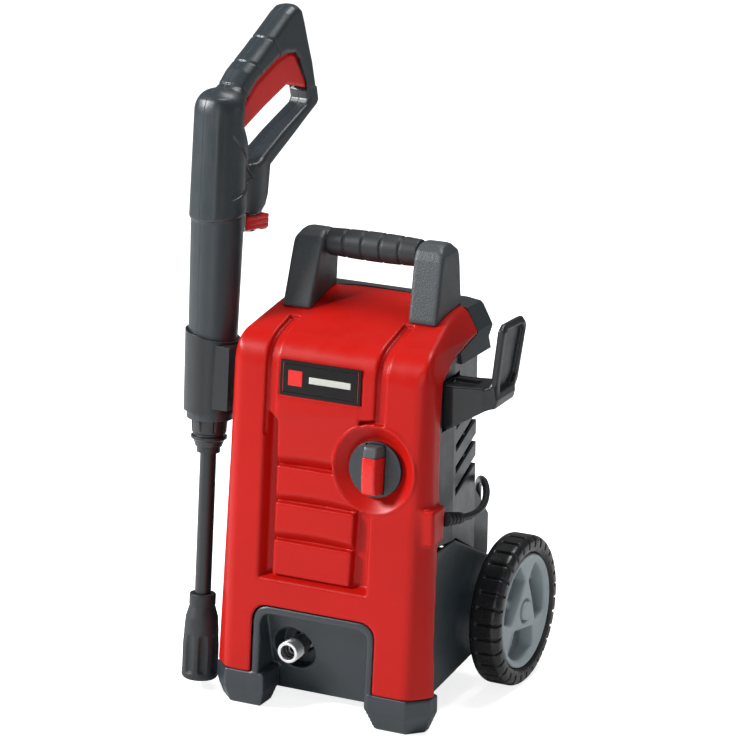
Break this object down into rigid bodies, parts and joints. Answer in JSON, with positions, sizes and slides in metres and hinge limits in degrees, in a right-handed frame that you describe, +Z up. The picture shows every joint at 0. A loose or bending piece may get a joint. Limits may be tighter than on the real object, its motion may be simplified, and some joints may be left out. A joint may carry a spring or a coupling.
{
  "type": "pressure washer",
  "caption": "Upright two-wheeled electric pressure washer with carrying handle, front switch dial, side hose hook, docked trigger gun with lance and nozzle, and mains cord.",
  "frame": {"origin": "middle of the machine's footprint on the floor, without the mains cord", "axes": "+Z up, -Y the front with the switch dial, +X the side with the hose hook"},
  "size_m": [0.3235, 0.3466, 0.6554],
  "materials": {
    "red_shell": "satin moulded, fine grain",
    "dark_shell": "fine grain",
    "soft_grip": "matt",
    "rubber": "matt",
    "tyre": "satin",
    "rim": "satin",
    "steel": "turned",
    "chrome_fitting": "polished",
    "brass": "turned",
    "cast": "cast",
    "lamination": "stacked sheet",
    "copper": "enamelled wire",
    "black_trim": "gloss",
    "red_trim": "satin",
    "film": "gloss",
    "mesh": "fine mesh"
  },
  "bodies": {
    "root": {"base_chassis": "dark_shell", "front_cover": "red_shell", "rear_shell": "dark_shell", "carry_handle": "dark_shell", "grip_sleeve": "soft_grip", "handle_screws": "steel", "badge_plate": "black_trim", "hose_hook": "dark_shell", "gun_holder": "dark_shell", "cover_screws": "steel", "outlet_fitting": "chrome_fitting", "outlet_seal": "rubber", "outlet_pipe": "brass", "inlet_fitting": "brass", "inlet_filter": "mesh", "inlet_pipe": "rubber", "axle": "steel", "axle_clips": "steel", "motor_can": "steel", "motor_stator": "lamination", "field_coils": "copper", "brush_holders": "brass", "motor_bearings": "steel", "gearbox_housing": "cast", "pump_head": "cast", "pump_seals": "rubber", "pistons": "steel", "piston_springs": "steel", "check_valves": "brass", "unloader_valve": "brass", "flow_switch": "black_trim", "rotary_switch": "black_trim", "noise_capacitor": "film", "inner_wires": "rubber", "strain_relief": "rubber", "mains_cord": "rubber", "cord_coil": "rubber", "cord_tie": "rubber", "mains_plug": "rubber"},
    "rotor": {"rotor_shaft": "steel", "cooling_fan": "dark_shell"},
    "wobble": {"wobble_gear": "steel"},
    "dial": {"dial_knob": "dark_shell", "dial_bar": "red_trim"},
    "wheel_left": {"tyre_left": "tyre", "rim_left": "rim"},
    "wheel_right": {"tyre_right": "tyre", "rim_right": "rim"},
    "gun": {"gun_shell_left": "dark_shell", "gun_shell_right": "dark_shell", "gun_screws": "steel", "gun_valve_block": "brass", "gun_hose_socket": "chrome_fitting", "trigger_pin": "steel"},
    "clip": {"hose_clip": "red_trim"},
    "trigger": {"trigger": "red_trim"},
    "lock": {"trigger_lock": "red_trim"},
    "lance": {"lance_tube": "dark_shell", "lance_collar": "dark_shell"},
    "nozzle": {"nozzle_body": "dark_shell"}
  },
  "joints": [
    {"name": "rotor_spin", "type": "hinge", "parent": "root", "child": "rotor", "pos_m": [0.00525, -0.01775, 0.2], "axis": [0, 0, 1], "continuous": true},
    {"name": "wobble_spin", "type": "hinge", "parent": "root", "child": "wobble", "pos_m": [0.00525, -0.05275, 0.15], "axis": [0, 0, 1], "continuous": true},
    {"name": "dial_turn", "type": "hinge", "parent": "root", "child": "dial", "pos_m": [0.05625, -0.11164, 0.255], "axis": [0, -0.9966, 0.0828], "range_deg": [-90, 0]},
    {"name": "wheel_left_spin", "type": "hinge", "parent": "root", "child": "wheel_left", "pos_m": [-0.11975, 0.05525, 0.075], "axis": [1, 0, 0], "continuous": true},
    {"name": "wheel_right_spin", "type": "hinge", "parent": "root", "child": "wheel_right", "pos_m": [0.13025, 0.05525, 0.075], "axis": [1, 0, 0], "continuous": true},
    {"name": "gun_lift", "type": "slide", "parent": "root", "child": "gun", "axis": [0, 0.0828, 0.9966], "range_m": [0, 0.36]},
    {"name": "clip_press", "type": "slide", "parent": "gun", "child": "clip", "axis": [-0.1736, -0.9814, 0.0816], "range_m": [0, 0.004], "stiffness_N_per_m": 600, "springref_m": -0.002},
    {"name": "trigger_pull", "type": "hinge", "parent": "gun", "child": "trigger", "pos_m": [-0.13182, -0.04483, 0.55498], "axis": [0.9848, -0.1731, 0.0144], "range_deg": [0, 7], "stiffness_Nm_per_rad": 1.2, "springref_deg": -8.59},
    {"name": "lock_flip", "type": "hinge", "parent": "trigger", "child": "lock", "pos_m": [-0.11723, 0.04109, 0.58998], "axis": [0.9848, -0.1731, 0.0144], "range_deg": [-30, 0]},
    {"name": "lance_twist", "type": "hinge", "parent": "gun", "child": "lance", "pos_m": [-0.13425, -0.08325, 0.25914], "axis": [0, 0.0828, 0.9966], "range_deg": [-45, 0]},
    {"name": "nozzle_twist", "type": "hinge", "parent": "lance", "child": "nozzle", "pos_m": [-0.13425, -0.10064, 0.04986], "axis": [0, 0.0828, 0.9966], "range_deg": [0, 90]}
  ],
  "couplings": [
    {"joint": "wobble_spin", "follows": "rotor_spin", "ratio": -0.33333}
  ]
}
